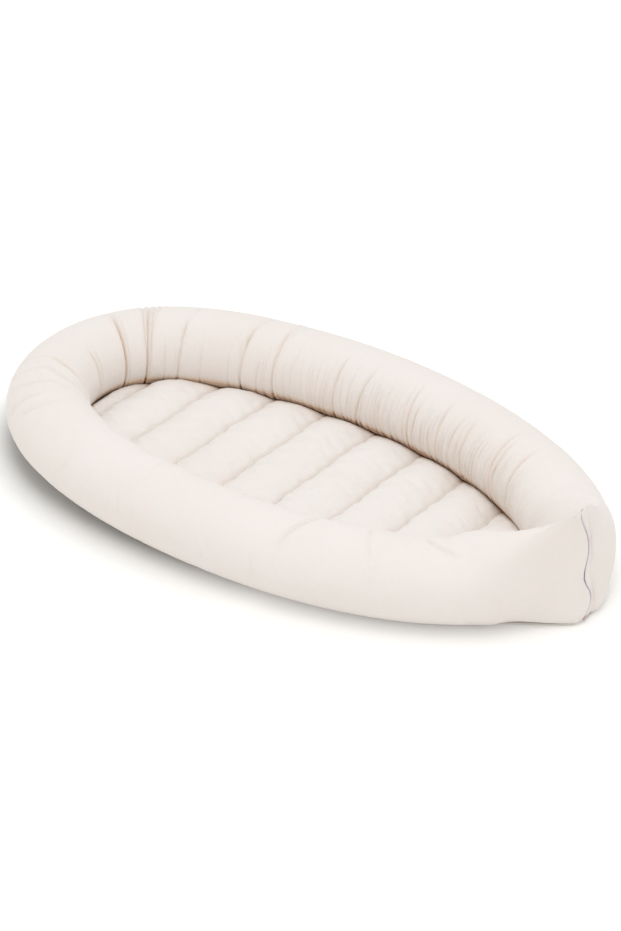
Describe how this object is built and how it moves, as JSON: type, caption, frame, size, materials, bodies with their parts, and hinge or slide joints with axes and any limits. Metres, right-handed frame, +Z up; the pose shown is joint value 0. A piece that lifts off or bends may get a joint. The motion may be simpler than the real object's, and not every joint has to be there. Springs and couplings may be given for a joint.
{
  "type": "infant lounger",
  "caption": "Oval infant lounger: a stuffed bolster ring, rounded at the head and drawn to a tall zipped seam at the foot, sewn round a cross-quilted pad.",
  "frame": {"origin": "on the floor, under the middle of the lounger's outer box", "axes": "+X along the lounger from the round head to the pointed foot, +Z up, +Y to the side away from the camera in the picture"},
  "size_m": [0.8904, 0.495, 0.155],
  "materials": {
    "cover_cotton": "matte",
    "pad_cotton": "matte",
    "sole_cotton": "matte",
    "wadding": "matte",
    "zip_tape": "matte",
    "zip_nylon": "satin",
    "slider_lacquer": "satin"
  },
  "bodies": {
    "lounger": {"bolster_cover": "cover_cotton", "bolster_filling": "wadding", "pad_backing": "pad_cotton", "pad_filling_1": "wadding", "pad_filling_2": "wadding", "pad_filling_3": "wadding", "pad_filling_4": "wadding", "pad_filling_5": "wadding", "pad_filling_6": "wadding", "pad_filling_7": "wadding", "pad_filling_8": "wadding", "pad_filling_9": "wadding", "pad_top_cloth": "pad_cotton", "sole": "sole_cotton", "zip_coil_far": "zip_nylon", "zip_coil_near": "zip_nylon", "zip_lower_stop_far": "zip_nylon", "zip_lower_stop_near": "zip_nylon", "zip_tape_far": "zip_tape", "zip_tape_near": "zip_tape", "zip_upper_stop": "zip_nylon"},
    "slider": {"zip_slider": "slider_lacquer"}
  },
  "joints": [
    {"name": "zip_slide", "type": "slide", "parent": "lounger", "child": "slider", "axis": [-0.1027, 0, 0.9947], "range_m": [0, 0.097], "deforming": ["zip_coil_near", "zip_coil_far"]}
  ]
}
